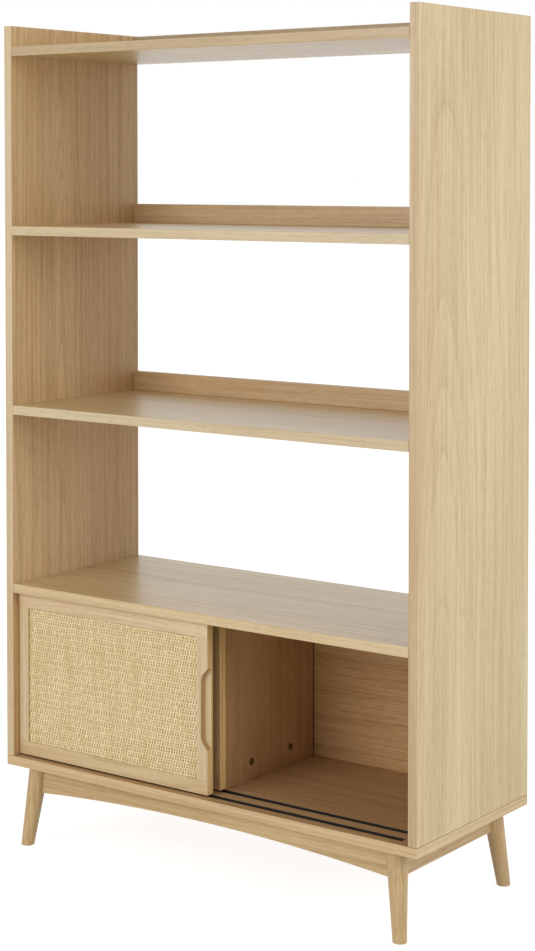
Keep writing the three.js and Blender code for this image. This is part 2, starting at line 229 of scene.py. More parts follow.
def cloud(tree, vector, sizes, detail, roughness=0.5):
    """Smooth noise between 0 and 1. The sizes say how fast it changes along, across and through."""
    scaled = put(tree, "ShaderNodeVectorMath", {0: vector, 1: sizes}, operation="MULTIPLY").outputs[0]
    inputs = {"Vector": scaled, "Scale": 1.0, "Detail": detail, "Roughness": roughness}
    return put(tree, "ShaderNodeTexNoise", inputs).outputs["Fac"]


def tint(tree, share, first, second, way="MIX"):
    """Two colours mixed by a share, or multiplied where way says so."""
    inputs = {0: share, 6: first, 7: second}
    return put(tree, "ShaderNodeMix", inputs, data_type="RGBA", blend_type=way).outputs[2]


def ease(tree, value, low, high, to_low=0.0, to_high=1.0):
    """Spreads the stretch of a value between low and high over a new range, with a soft start and end."""
    inputs = {"Value": value, "From Min": low, "From Max": high, "To Min": to_low, "To Max": to_high}
    return put(tree, "ShaderNodeMapRange", inputs, interpolation_type="SMOOTHSTEP").outputs["Result"]


def pattern_group(name, colours, numbers):
    """An empty group that takes a place, colours and numbers, and gives colour, roughness and height."""
    tree = bpy.data.node_groups.new(name, "ShaderNodeTree")
    tree.interface.new_socket("Vector", in_out="INPUT", socket_type="NodeSocketVector")
    for kind, defaults in (("NodeSocketColor", colours), ("NodeSocketFloat", numbers)):
        for label, value in defaults.items():
            tree.interface.new_socket(label, in_out="INPUT", socket_type=kind).default_value = value
    tree.interface.new_socket("Color", in_out="OUTPUT", socket_type="NodeSocketColor")
    for label in ("Roughness", "Height"):
        tree.interface.new_socket(label, in_out="OUTPUT", socket_type="NodeSocketFloat")
    return tree, tree.nodes.new("NodeGroupInput").outputs, tree.nodes.new("NodeGroupOutput").inputs


print("a pale oak tone as linear numbers:", [round(part, 3) for part in paint(211, 192, 155)])

# %% [markdown]
# ## Oak
# Oak is known by three things. Its growth rings are cut at a slant by the board's face, so they draw long
# nested arches near the heart and straight lines beside it. Each ring starts with a band of open pores,
# fine dark dashes along the grain. And a fine silky fibre runs through it all. The group below makes
# these from a log: the distance from a heart line, which leans a little against the board, is counted in
# ring widths. Over that lie wide soft changes of tone, which grow warmer as they darken, and a faint
# blush in some of the wood. One group serves every board, because only the place of the heart, the
# direction of the grain and the colours differ.

# %% Oak grain group
OAK_COLOURS = {"Pale": paint(219, 201, 161), "Ring": paint(184, 159, 115), "Pore": paint(150, 122, 82)}
OAK_NUMBERS = {"Ring Width": 0.0038, "Lean": 0.011, "Figure": 0.55, "Pores": 0.5, "Streaks": 0.5}
# Each noise: its changes in a metre along, across and through, its detail, and for one its roughness.
OAK_NOISE = {
    "slow": ((1.3, 3.0, 3.0), 1.0), "quick": ((7.0, 26.0, 26.0), 2.0),
    "dashes": ((55.0, 1500.0, 1500.0), 1.0), "fleck": ((38.0, 300.0, 300.0), 2.0),
    "fibre": ((3.0, 180.0, 180.0), 4.0, 0.65),
    "streak": ((0.8, 42.0, 42.0), 2.0), "tone": ((0.8, 5.0, 5.0), 1.0), "blush": ((0.7, 24.0, 21.0), 2.0),
}
# The stretch of each noise that counts, and what it becomes where that isn't 0 to 1.
OAK_SPREAD = {
    "band": (0.38, 0.68), "dashes": (0.54, 0.72), "fleck": (0.42, 0.75), "streak": (0.35, 0.7),
    "tone": (0.3, 0.7, 0.955, 1.03), "blush": (0.46, 0.68), "fibre": (0.2, 0.8, 0.36, 0.5),
}
SLOW_SWAY, QUICK_SWAY, DEPTH_SWAY = 0.05, 0.007, 0.02
SEASON_NOISE, SEASON_SPREAD, BAND_NOISE, EARLY_POWER = (70.0, 2.0), 3.0, (95.0, 1.0), 3.0
PORES_EARLY, PORES_LATE, FLECK_SHARE, FIBRE_SHARE = 0.75, 0.25, 0.3, 1.75
BAND_SHARE, EARLY_SHARE, STREAK_SHARE, FIBRE_HEIGHT = 0.34, 0.6, 0.4, 0.25
TONE_POWERS, BLUSH = (1.0, 1.8, 2.8), (1.005, 0.983, 0.985, 1.0)


def ring_noise(tree, radius, scale, detail):
    """Noise that changes with the distance from the heart and nothing else."""
    inputs = {"W": radius, "Scale": scale, "Detail": detail}
    return put(tree, "ShaderNodeTexNoise", inputs, noise_dimensions="1D").outputs["Fac"]


def build_rings(tree, given, noise):
    """How far each point lies from the swaying, leaning heart, and how early in its year it grew."""
    along, across, through = put(tree, "ShaderNodeSeparateXYZ", {0: given["Vector"]}).outputs
    slow, quick = (reckon(tree, "SUBTRACT", noise[name], 0.5) for name in ("slow", "quick"))
    sway = reckon(tree, "ADD", reckon(tree, "MULTIPLY", slow, SLOW_SWAY),
                  reckon(tree, "MULTIPLY", quick, QUICK_SWAY))
    leaning = reckon(tree, "MULTIPLY_ADD", along, given["Lean"], through)
    offsets = (reckon(tree, "ADD", across, sway), reckon(tree, "MULTIPLY_ADD", slow, DEPTH_SWAY, leaning))
    squares = (reckon(tree, "MULTIPLY", offset, offset) for offset in offsets)
    radius = reckon(tree, "SQRT", reckon(tree, "ADD", *squares))
    years = reckon(tree, "DIVIDE", radius, given["Ring Width"])
    counted = reckon(tree, "MULTIPLY_ADD", ring_noise(tree, radius, *SEASON_NOISE), SEASON_SPREAD, years)
    season = reckon(tree, "FRACT", counted)
    return radius, reckon(tree, "POWER", reckon(tree, "SUBTRACT", 1.0, season), EARLY_POWER)


def build_oak_grain(tree, given, result):
    """Wires the rings, pores, fibre, flecks, streaks and tone of the wood."""
    noise = {name: cloud(tree, given["Vector"], *numbers) for name, numbers in OAK_NOISE.items()}
    radius, early = build_rings(tree, given, noise)
    noise["band"] = ring_noise(tree, radius, *BAND_NOISE)
    eased = {name: ease(tree, noise[name], *spread) for name, spread in OAK_SPREAD.items()}
    pore = reckon(tree, "MULTIPLY", eased["dashes"],
                  reckon(tree, "MULTIPLY_ADD", early, PORES_EARLY, PORES_LATE))
    fibre = reckon(tree, "MULTIPLY", reckon(tree, "SUBTRACT", noise["fibre"], 0.5), FIBRE_SHARE)
    ripple = reckon(tree, "MULTIPLY_ADD", eased["fleck"], FLECK_SHARE, fibre)
    bands = reckon(tree, "MULTIPLY_ADD", eased["band"], BAND_SHARE,
                   reckon(tree, "MULTIPLY", early, EARLY_SHARE))
    lines = reckon(tree, "MULTIPLY", bands, given["Figure"])
    streaks = reckon(tree, "MULTIPLY", given["Streaks"], STREAK_SHARE)
    streaked = reckon(tree, "MULTIPLY_ADD", eased["streak"], streaks, lines)
    ringed = tint(tree, reckon(tree, "ADD", streaked, ripple, clamp=True), given["Pale"], given["Ring"])
    opened = tint(tree, reckon(tree, "MULTIPLY", pore, given["Pores"]), ringed, given["Pore"])
    deeper = [reckon(tree, "POWER", eased["tone"], power) for power in TONE_POWERS]
    tone = put(tree, "ShaderNodeCombineColor", dict(enumerate(deeper))).outputs[0]
    toned = tint(tree, 1.0, opened, tone, way="MULTIPLY")
    rosy = tint(tree, 1.0, toned, BLUSH, way="MULTIPLY")
    tree.links.new(tint(tree, eased["blush"], toned, rosy), result["Color"])
    tree.links.new(eased["fibre"], result["Roughness"])
    height = reckon(tree, "MULTIPLY_ADD", noise["fibre"], FIBRE_HEIGHT, reckon(tree, "MULTIPLY", pore, -1.0))
    tree.links.new(height, result["Height"])


oak_grain, given, result = pattern_group("Oak grain", OAK_COLOURS, OAK_NUMBERS)
build_oak_grain(oak_grain, given, result)
print("oak grain group:", len(oak_grain.nodes), "nodes")

# %% [markdown]
# A board's grain runs along its length, so the pattern has to be turned for each direction. A Mapping
# node does that: the first table gives the turn that brings the board's length onto the pattern's own
# "along". The same node slides the pattern sideways, which puts the heart of the log where that board
# shows its arches. The outside and the shelves are lacquered. Inside the cabinet and on the doors the oak
# is only oiled, with less sheen.

# %% Oak finish
TURNS = {
    "along x, lying": (0, 0, 0), "along x, standing": (-90, 0, 0),
    "along y, lying": (0, 0, -90), "along y, standing": (0, -90, -90),
    "along z, facing aside": (0, 90, 0), "along z, facing front": (90, 0, 90),
}
OAK_SHEEN, OIL_SHEEN, LACQUER_ROUGHNESS, SHELF_LACQUER, UNDER_LACQUER = 0.62, 0.3, 0.3, 0.65, 0.44
OAK_RELIEF, OAK_RELIEF_SHARE = 0.12 * MM, 0.35


def new_material(name):
    """A material with its shader and nothing else."""
    made = bpy.data.materials.new(name)
    made.use_nodes = True
    return made, made.node_tree, made.node_tree.nodes["Principled BSDF"]


def patterned(name, group, relief, share, turn="along x, lying", heart=(0.0, 0.0, 0.0), **values):
    """A material whose colour, roughness and relief come from a group, turned and slid to suit the piece."""
    made, tree, shader = new_material(name)
    where = put(tree, "ShaderNodeTexCoord").outputs["Object"]
    angles = tuple(math.radians(angle) for angle in TURNS[turn])
    turned = put(tree, "ShaderNodeMapping", {"Vector": where, "Rotation": angles, "Location": heart})
    inputs = {label.replace("_", " "): value for label, value in values.items()}
    pattern = put(tree, "ShaderNodeGroup", {"Vector": turned.outputs[0], **inputs}, node_tree=group)
    colour, roughness, height = pattern.outputs
    bump = put(tree, "ShaderNodeBump", {"Height": height, "Distance": relief, "Strength": share})
    wire(tree, shader, {"Base Color": colour, "Roughness": roughness, "Normal": bump.outputs["Normal"]})
    return made, shader, pattern


def oak(name, turn, heart, sheen=OAK_SHEEN, lacquer=0.0, **values):
    """One board's oak: the way of its grain, where its heart lies, its sheen, its lacquer and its tones."""
    made, shader, grain = patterned(name, oak_grain, OAK_RELIEF, OAK_RELIEF_SHARE, turn, heart, **values)
    wire(made.node_tree, shader,
         {"Specular IOR Level": sheen, "Coat Weight": lacquer, "Coat Roughness": LACQUER_ROUGHNESS})
    return made


def tones(pale, ring, pore=None, **values):
    """The tones that a board sets in the grain group, with any other values it needs."""
    values.update(Pale=paint(*pale), Ring=paint(*ring))
    if pore:
        values["Pore"] = paint(*pore)
    return values


# %% [markdown]
# The boards differ in tone, as the photograph shows, and some of that is painted shade and light. The
# outside is pale. The inner faces of the sides are browner, and the cabinet's inside is the darkest: painted
# shade.
# The upper shelf's edge is darker, painted shade, its rail is darker too, and its underside is duller, with
# less lacquer. The rear door is darker than the front one, and the front door's foot darker than its top
# rail: painted shade. The walls of a door's pull and its inner edges are brown, painted shade, and the
# doors' outer edges are paler, partly painted light. So one table names each kind of board, with the way of
# its grain, the place of its heart and its tones.

# %% Oak boards
# Darker pores for the oak inside the cabinet, part of its painted shade.
DARK_PORE = (122, 90, 52)
OUTER = tones((218, 200, 159), (184, 160, 117), Streaks=0.3)
# The sides' inner faces are browner than the outside: painted shade.
INNER_SHADED = tones((221, 189, 141), (180, 144, 92), Figure=0.65, Ring_Width=0.0024)
SHELF = tones((216, 192, 141), (173, 140, 88), Figure=0.75, lacquer=SHELF_LACQUER)
SOLID = tones((202, 174, 128), (164, 133, 86), Figure=0.65)
APRON = tones((210, 182, 136), (171, 140, 93), Figure=0.65)
# The rear door's oak is darker than the front door's: painted shade.
REAR_DOOR_SHADED = tones((200, 167, 121), (173, 141, 97), sheen=OIL_SHEEN)
BOARDS = {
    "along z, facing aside": {
        "side_right": ((14.3, 0.115, 0.496), dict(OUTER, Ring_Width=0.005, Lean=0.02, Figure=0.43)),
        "side_left": ((8.7, 0.06, -0.46), OUTER),
        "inside_right": ((5.5, 0.08, 0.5), INNER_SHADED),
        "inside_left": ((1.2, 0.05, -0.45), INNER_SHADED),
        # The divider's oak is darker, as painted shade inside the cabinet; the sides' inner faces there take
        # it too.
        "divider": ((6.6, 0.05, 0.03), tones((199, 163, 120), (167, 128, 84), DARK_PORE, Figure=0.35,
                                             sheen=OIL_SHEEN)),
        # The doors' outer edges are paler than their faces: partly painted light.
        "door_edge": ((2.7, 0.3, 0.2), tones((244, 212, 152), (214, 177, 118), sheen=OIL_SHEEN)),
    },
    "along z, facing front": {
        "edge_left": ((1.3, 0.7, 0.27), tones((212, 191, 156), (184, 158, 119), Figure=0.4)),
        "edge_right": ((2.2, -0.3, 0.27), tones((203, 178, 140), (175, 146, 107), Figure=0.5)),
        "leg": ((4.4, 0.31, 0.17), dict(SOLID, Lean=0.06)),
        "door_stile": ((7.1, 0.3, 0.2), tones((218, 199, 164), (191, 167, 129), sheen=OIL_SHEEN)),
        # Brown oak for the walls of a pull and a frame's inner edges: painted shade in these recesses.
        "door_brown_shade": ((5.3, 0.3, 0.2), tones((193, 159, 110), (166, 133, 87), sheen=OIL_SHEEN)),
        "rear_stile": ((6.3, 0.3, 0.2), REAR_DOOR_SHADED),
    },
    "along y, lying": {
        "edge_across": ((2.9, 0.2, -1.4), tones((215, 193, 150), (186, 160, 114), Figure=0.4)),
    },
    "along y, standing": {
        "apron_side": ((5.9, -0.3, 0.2), APRON),
    },
    "along x, lying": {
        "shelf_upper": ((5.2, 0.03, -1.61), SHELF),
        "shelf_middle": ((2.4, -0.07, -1.24), SHELF),
        "shelf_lower": ((7.7, 0.05, -0.88), SHELF),
        "under_upper": ((5.2, 0.03, -1.61), tones((216, 192, 135), (173, 140, 84), Figure=0.75,
                                                  lacquer=UNDER_LACQUER)),
        "cabinet_top": ((4.6, -0.02, -0.51), SHELF),
        # The base's top is darker, as painted shade inside the cabinet and under the doors.
        "base": ((9.3, 0.05, -0.15), tones((193, 159, 119), (160, 125, 83), DARK_PORE, sheen=OIL_SHEEN)),
    },
    "along x, standing": {
        "edge_shelf": ((6.1, 0.4, 0.35), tones((210, 192, 158), (182, 159, 122), Figure=0.4)),
        # The upper shelf's front edge is darker than the others: painted shade.
        "edge_upper": ((6.1, 0.4, 0.35), tones((193, 170, 134), (167, 140, 102), Figure=0.4)),
        "edge_cabinet": ((3.9, 0.45, 0.33), tones((217, 194, 154), (186, 158, 116))),
        "edge_base": ((4.1, 0.5, 0.32), tones((216, 188, 145), (177, 146, 100), Figure=0.6)),
        "rail": ((1.9, -0.6, 0.23), tones((210, 182, 140), (176, 143, 98))),
        "rail_upper": ((1.9, -0.6, 0.23), tones((184, 165, 135), (154, 129, 95))),
        # The back's inner face is darker, as painted shade inside the cabinet.
        "back": ((3.5, -0.62, 0.35), tones((207, 168, 121), (174, 133, 84), DARK_PORE, Lean=0.03, Figure=0.8,
                                           sheen=OIL_SHEEN)),
        "back_outside": ((2.5, -0.4, 0.25), OUTER),
        # A dark oak for the strip behind the divider: painted shade in the slit.
        "seam": ((2.5, -0.4, 0.25), tones((104, 80, 54), (84, 62, 40), (60, 44, 28), Figure=0.3,
                                          sheen=OIL_SHEEN)),
        "apron_long": ((0.7, -0.3, 0.3), APRON),
        "door_rail": ((2.2, -0.35, 0.22), tones((225, 204, 169), (198, 172, 134), sheen=OIL_SHEEN)),
        # The front door's bottom rail is darker than its top rail: painted shade.
        "door_foot_shaded": ((5.7, -0.16, 0.22), tones((214, 189, 149), (187, 159, 117), sheen=OIL_SHEEN)),
        "rear_rail": ((4.8, -0.35, 0.22), REAR_DOOR_SHADED),
        "backing": ((8.1, -0.34, 0.22), tones((190, 160, 112), (165, 134, 90))),
        "brace": ((3.3, -0.2, 0.1), SOLID),
    },
}
wood = {}
for turn, boards in BOARDS.items():
    for name, (heart, values) in boards.items():
        wood[name] = oak("oak " + name.replace("_", " "), turn, heart, **values)
print("oak materials:", len(wood))


# %% [markdown]
# ## Cane, plastic, zinc and nylon
# Cane is the glossy skin of rattan, split into flat strands. Each strand has its own shade of straw and fine
# lines along it. Where it dives under its neighbours it is darker, with dust and painted shade, varied by
# noise. The weave stores for each point how deep it lies, in an attribute called "sunk", and the material
# paints shade by it. The small hardware has quieter finishes, but none is one flat colour: moulded plastic
# is finely grained, the zinc of the cam locks is brushed and has yellowed to brown, and a nylon glide is
# scuffed.

# %% Cane fibre group
# Shade is the colour of the painted shade in the weave's hollows.
CANE_COLOURS = {"Pale": paint(253, 236, 194), "Straw": paint(236, 212, 164), "Shade": paint(161, 123, 68),
                "Ripe": paint(231, 208, 146)}
CANE_NOISE = {
    "strand": ((11.0, 330.0, 20.0), 1.0), "lines": ((30.0, 2600.0, 900.0), 2.0),
    "patch": ((9.0, 9.0, 9.0), 2.0), "ripe": ((11.0, 45.0, 11.0), 1.0), "dust_and_shade": ((60.0, 150.0, 40.0), 2.0),
}
CANE_SPREAD = {"strand": (0.35, 0.68), "lines": (0.35, 0.75), "ripe": (0.56, 0.7, 0.0, 0.6),
               "dust_and_shade": (0.32, 0.62, 0.57, 0.86)}
SUNK_SPREAD, CANE_ROUGHNESS = (0.22, 0.74), (0.2, 0.8, 0.38, 0.55)
STRAND_SHARE, LINE_SHARE, PATCH_SHARE = 0.95, 0.35, 0.32


def build_cane_fibre(tree, given, result):
    """Wires the strands' shades, their fine lines, and the dust and painted shade in their hollows."""
    noise = {name: cloud(tree, given["Vector"], *numbers) for name, numbers in CANE_NOISE.items()}
    eased = {name: ease(tree, noise[name], *spread) for name, spread in CANE_SPREAD.items()}
    mixed = reckon(tree, "MULTIPLY_ADD", eased["lines"], LINE_SHARE,
                   reckon(tree, "MULTIPLY", eased["strand"], STRAND_SHARE))
    patch = reckon(tree, "SUBTRACT", noise["patch"], 0.5)
    share = reckon(tree, "MULTIPLY_ADD", patch, PATCH_SHARE, mixed, clamp=True)
    straw = tint(tree, eased["ripe"], tint(tree, share, given["Pale"], given["Straw"]), given["Ripe"])
    # Painted shade: the deeper a point lies, the more it takes the Shade colour, by an amount that noise
    # varies.
    deep = reckon(tree, "MULTIPLY", ease(tree, given["Sunk"], *SUNK_SPREAD), eased["dust_and_shade"])
    tree.links.new(tint(tree, deep, straw, given["Shade"]), result["Color"])
    tree.links.new(ease(tree, noise["lines"], *CANE_ROUGHNESS), result["Roughness"])
    tree.links.new(noise["lines"], result["Height"])


cane_fibre, given, result = pattern_group("Cane fibre", CANE_COLOURS, {"Sunk": 0.0})
build_cane_fibre(cane_fibre, given, result)
print("cane fibre group:", len(cane_fibre.nodes), "nodes")

# %% Fine grain group
GRAIN_COLOURS = {"First": paint(32, 29, 24), "Second": paint(46, 42, 36)}
GRAIN_NUMBERS = {"Along": 900.0, "Across": 900.0, "Smooth": 0.3, "Rough": 0.5}
SPECKLE_DETAIL, WEAR_NOISE, GRAIN_SPREAD = 2.0, ((40.0, 40.0, 40.0), 3.0), (0.3, 0.7)


def build_fine_grain(tree, given, result):
    """Wires a fine speckle, as long and as wide as a material says, and slow patches of wear."""
    sizes = put(tree, "ShaderNodeCombineXYZ", {0: given["Along"], 1: given["Across"], 2: given["Across"]})
    speckle = cloud(tree, given["Vector"], sizes.outputs[0], SPECKLE_DETAIL)
    wear = cloud(tree, given["Vector"], *WEAR_NOISE)
    share = reckon(tree, "MULTIPLY_ADD", speckle, 0.5, reckon(tree, "MULTIPLY", wear, 0.5))
    colour = tint(tree, ease(tree, share, *GRAIN_SPREAD), given["First"], given["Second"])
    spread = reckon(tree, "SUBTRACT", given["Rough"], given["Smooth"])
    tree.links.new(colour, result["Color"])
    tree.links.new(reckon(tree, "MULTIPLY_ADD", share, spread, given["Smooth"]), result["Roughness"])
    tree.links.new(speckle, result["Height"])


fine_grain, given, result = pattern_group("Fine grain", GRAIN_COLOURS, GRAIN_NUMBERS)
build_fine_grain(fine_grain, given, result)
print("fine grain group:", len(fine_grain.nodes), "nodes")

# %% Cane and hardware finishes
CANE_RELIEF, HARDWARE_RELIEF, RELIEF_SHARE = 0.1 * MM, 0.05 * MM, 0.4


def cane(name, turn):
    """One direction of cane strands, with painted shade by how deep each point lies."""
    made, shader, fibre = patterned(name, cane_fibre, CANE_RELIEF, RELIEF_SHARE, turn)
    sunk = put(made.node_tree, "ShaderNodeAttribute", attribute_name="sunk")
    made.node_tree.links.new(sunk.outputs["Fac"], fibre.inputs["Sunk"])
    return made


def hardware(name, metallic=0.0, **values):
    """A hardware finish from the fine grain group."""
    made, shader, grain = patterned(name, fine_grain, HARDWARE_RELIEF, RELIEF_SHARE, **values)
    shader.inputs["Metallic"].default_value = metallic
    return made


cane_upright = cane("cane upright", "along z, facing front")
cane_level = cane("cane level", "along x, standing")
black_plastic = hardware("black plastic")
zinc = hardware("zinc", metallic=1.0, First=paint(112, 93, 58), Second=paint(146, 125, 86),
                Along=300.0, Across=2400.0, Smooth=0.35, Rough=0.55)
grey_nylon = hardware("grey nylon", First=paint(104, 100, 93), Second=paint(124, 119, 111), Smooth=0.45,
                      Rough=0.65)
print("materials in all:", len(bpy.data.materials))


# %% [markdown]
# ## The case boards
# The case is made of 19 mm veneered boards, butted edge to face, flush at the front and the back. On a
# real board the face veneer and the edge veneer are separate strips, each with the grain along its own
# length, and the arrises are sanded. So each board starts as a block between the corners that the frame
# gives, its edges are bevelled, and its faces get a material by the way they face. Where two boards meet,
# one end is held back by less than half a millimetre, so that the joint shows as a hairline.

# %% Board helpers
JOINT_GAP, OVERCUT = 0.4 * MM, 2 * MM
SQUARELY, MAINLY, PARTLY = 0.9, 0.7, 0.5     # how much of a face's normal has to point one way


def dress(piece, body, slot, node, *finishes):
    """Gives a piece its finish, hangs it under the body that carries it, and hides the CAD node it stands
    for. The slot is not used.
    """
    for made in finishes:
        piece.data.materials.append(made)
    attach(piece, body)
    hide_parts(node)


def board(node, name, facing_x, facing_y, facing_z, grooves=(), gap=(0, 0, 0)):
    """A case board with soft arrises and any grooves. Each face gets its oak by the axis it faces most."""
    low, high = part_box(node)
    piece = start_box(name, low + Vector(gap), high - Vector((gap[0], 0, 0)))
    ease_edges(piece)
    for corners in grooves:
        carve(piece, start_box("groove cutter", *corners))
    smooth(piece)
    dress(piece, "case", "oak_board", node, wood[facing_x], wood[facing_y], wood[facing_z])
    for face in piece.data.polygons:
        sizes = [abs(part) for part in face.normal]
        face.material_index = sizes.index(max(sizes))
    return piece


def veneer(piece, name, test):
    """Gives another oak to the faces that pass a test on their place and normal."""
    piece.data.materials.append(wood[name])
    for face in piece.data.polygons:
        if test(face.center, face.normal):
            face.material_index = len(piece.data.materials) - 1


def track_grooves(kind, down, up):
    """The corners of two cutters that make room for the tracks of a kind, open at the board's face."""
    boxes = [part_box(f"track_{kind}_{place}") for place in ("front", "rear")]
    return [(low - Vector((0, 0, down)), high + Vector((0, 0, up))) for low, high in boxes]


# %% [markdown]
# The two sides stand on the base board. Inside the cabinet their inner faces take the divider's darker oak,
# as painted shade, so the face is split at that height first. The shelves lie between the sides, each with
# a low rail on its back.

# %% Sides and shelves
CEILING_LAP = 2 * MM
cabinet_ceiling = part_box("cabinet_top")[0].z + CEILING_LAP
for side, inwards in (("left", 1), ("right", -1)):
    piece = board(f"side_panel_{side}", f"side_board_{side}", f"side_{side}", f"edge_{side}", "edge_across",
                  gap=(0, 0, JOINT_GAP))
    split(piece, (0, 0, cabinet_ceiling), (0, 0, 1))
    veneer(piece, f"inside_{side}", lambda place, normal: normal.x * inwards > MAINLY)
    # Inside the cabinet the inner faces take the divider's darker oak: painted shade.
    veneer(piece, "divider", lambda place, normal: normal.x * inwards > MAINLY and place.z < cabinet_ceiling)
for level, edge, under, rail in (("upper", "edge_upper", "under_upper", "rail_upper"),
                                 ("middle", "edge_shelf", "shelf_middle", "rail"),
                                 ("lower", "edge_shelf", "shelf_lower", "rail")):
    face = f"shelf_{level}"
    piece = board(face, f"shelf_board_{level}", face, edge, face, gap=(JOINT_GAP, 0, 0))
    veneer(piece, under, lambda place, normal: normal.z < -MAINLY)
    board(f"rail_{level}", f"back_rail_{level}", rail, rail, edge)

# %% [markdown]
# The cabinet lies between the base board and its own top, and both have grooves for the door tracks. In
# the photograph a dark line runs up behind the divider, where it stops short of the back panel. So the
# panel's inner face stands 3 mm further back here, and a strip of it, as wide as the divider, closes the
# slit with painted shade: a dark oak.

# %% Cabinet boards
BACK_GAP = 3 * MM
board("base_board", "bottom_board", "edge_across", "edge_base", "base", track_grooves("bottom", 0, OVERCUT))
board("cabinet_top", "cabinet_top_board", "cabinet_top", "edge_cabinet", "cabinet_top",
      track_grooves("top", OVERCUT, 0), (JOINT_GAP, 0, 0))
back_panel = board("cabinet_back", "cabinet_back_panel", "back", "back", "back", gap=(0, BACK_GAP, 0))
strip = [corner.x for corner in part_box("cabinet_divider")]
for cut in strip:
    split(back_panel, (cut, 0, 0), (1, 0, 0))
veneer(back_panel, "back_outside", lambda place, normal: normal.y > MAINLY)
# The strip behind the divider gets the dark oak: painted shade.
veneer(back_panel, "seam", lambda place, normal: normal.y < -MAINLY and strip[0] < place.x < strip[1])
print("cabinet back:", len(back_panel.data.polygons), "faces")

# %% [markdown]
# ## The divider and its cam locks
# A divider stands in the middle of the cabinet. Two round cam locks hold it to the bottom board: discs of
# yellowed zinc, 15 mm across, sunk flush into its right face, each with a rim and a crossed slot for the
# screwdriver. The hole is cut with a slightly wider tool, so a hairline shows round each disc.

# %% Divider and cam locks
CAM_RADIUS, CAM_DEPTH, CAM_FIT, CAM_EASE = 7.5 * MM, 12 * MM, 0.3 * MM, 0.15 * MM
CAM_RIM, CAM_DISH = 0.9 * MM, 0.4 * MM
SLOT_HALF_WIDTH, SLOT_HALF_LENGTH, SLOT_DEPTH = 0.9 * MM, 4.4 * MM, 1.8 * MM


def drum(name, centre, radius, depth, axis=(0, 0, 1), sides=48):
    """A round bar about its centre, along an axis."""
    return start(name, bpy.ops.mesh.primitive_cylinder_add, vertices=sides, radius=radius, depth=depth,
                 location=centre, rotation=Vector(axis).to_track_quat("Z", "Y").to_euler())


def make_cam(node, name):
    """A cam lock: a drum with a raised rim and a crossed slot in its right-hand face."""
    low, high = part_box(node)
    centre = (low + high) / 2
    piece = drum(name, centre, CAM_RADIUS, CAM_DEPTH, axis=(1, 0, 0))
    choose(piece, "FACE", lambda place, normal: normal.x > SQUARELY)
    bpy.ops.mesh.inset(thickness=CAM_RIM)
    bpy.ops.mesh.extrude_region_move(TRANSFORM_OT_translate={"value": (-CAM_DISH, 0, 0)})
    done()
    top = Vector((high.x, centre.y, centre.z))
    for half_y, half_z in ((SLOT_HALF_WIDTH, SLOT_HALF_LENGTH), (SLOT_HALF_LENGTH, SLOT_HALF_WIDTH)):
        carve(piece, start_box("slot cutter", top - Vector((SLOT_DEPTH, half_y, half_z)),
                               top + Vector((OVERCUT, half_y, half_z))))
    soften(piece, CAM_EASE, 2)
    dress(piece, "case", "zinc_steel", node, zinc)
    return centre


divider = board("cabinet_divider", "divider_board", "divider", "edge_left", "edge_shelf")
for place in ("front", "rear"):
    centre = make_cam(f"cam_lock_{place}", f"cam_disc_{place}")
    carve(divider, drum("cam hole cutter", centre + Vector((OVERCUT / 2, 0, 0)), CAM_RADIUS + CAM_FIT,
                        CAM_DEPTH + OVERCUT + CAM_FIT, axis=(1, 0, 0)))
print("divider:", len(divider.data.polygons), "faces, cam locks at height", round(centre.z, 4))

# %% [markdown]
# ## The tracks
# Two black channels lie flush in the bottom board and two hang in the cabinet top, one of each for each
# door. A channel is modelled from its floor: two cuts along it mark off the walls, and the outer strips
# are extruded.

# %% Tracks
TRACK_WALL, TRACK_EDGE = 2 * MM, 0.25 * MM


def make_track(node, name, opening):
    """A channel in a node's place, open at the top where opening is 1 and at the bottom where it is -1."""
    low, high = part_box(node)
    below, above = (low.z, low.z + TRACK_WALL) if opening > 0 else (high.z - TRACK_WALL, high.z)
    piece = start_box(name, (low.x, low.y, below), (high.x, high.y, above))
    inner = (low.y + TRACK_WALL, high.y - TRACK_WALL)
    for wall in inner:
        split(piece, (0, wall, 0), (0, 1, 0))
    choose(piece, "FACE", lambda place, normal: normal.z * opening > SQUARELY and not
           inner[0] < place.y < inner[1])
    rise = (high.z - low.z - TRACK_WALL) * opening
    bpy.ops.mesh.extrude_region_move(TRANSFORM_OT_translate={"value": (0, 0, rise)})
    done()
    soften(piece, TRACK_EDGE, 2)
    dress(piece, "case", "black_plastic", node, black_plastic)


for place in ("front", "rear"):
    for kind, opening in (("bottom", 1), ("top", -1)):
        make_track(f"track_{kind}_{place}", f"track_channel_{kind}_{place}", opening)


# %% [markdown]
# ## The leg frame
# Four turned legs lean outwards by 18 mm both ways and taper from 41 mm at the top to 26.5 mm at the
# foot. One leg is made as a long cone on the leaning axis, cut off level at both ends, and its foot is
# eased. The other three are mirror images, each with a mesh of its own. A mirrored mesh is inside out, so
# its normals are made outward again.

# %% Legs
FRAME_HEIGHT, FOOT_LEVEL, LEG_TOP_GAP, FOOT_EASE = 163.5 * MM, 1 * MM, 0.2 * MM, 1.4 * MM
LEG_TOP_RADIUS, LEG_FOOT_RADIUS, LEG_OVERHANG = 20.5 * MM, 13.25 * MM, 0.15
LEG_TOP, LEG_FOOT = Vector((438 * MM, 168.5 * MM, FRAME_HEIGHT)), Vector((456 * MM, 186.5 * MM, 0))
CORNERS = {"back_right": (1, 1), "back_left": (-1, 1), "front_right": (1, -1), "front_left": (-1, -1)}
NEAR = 0.1 * MM


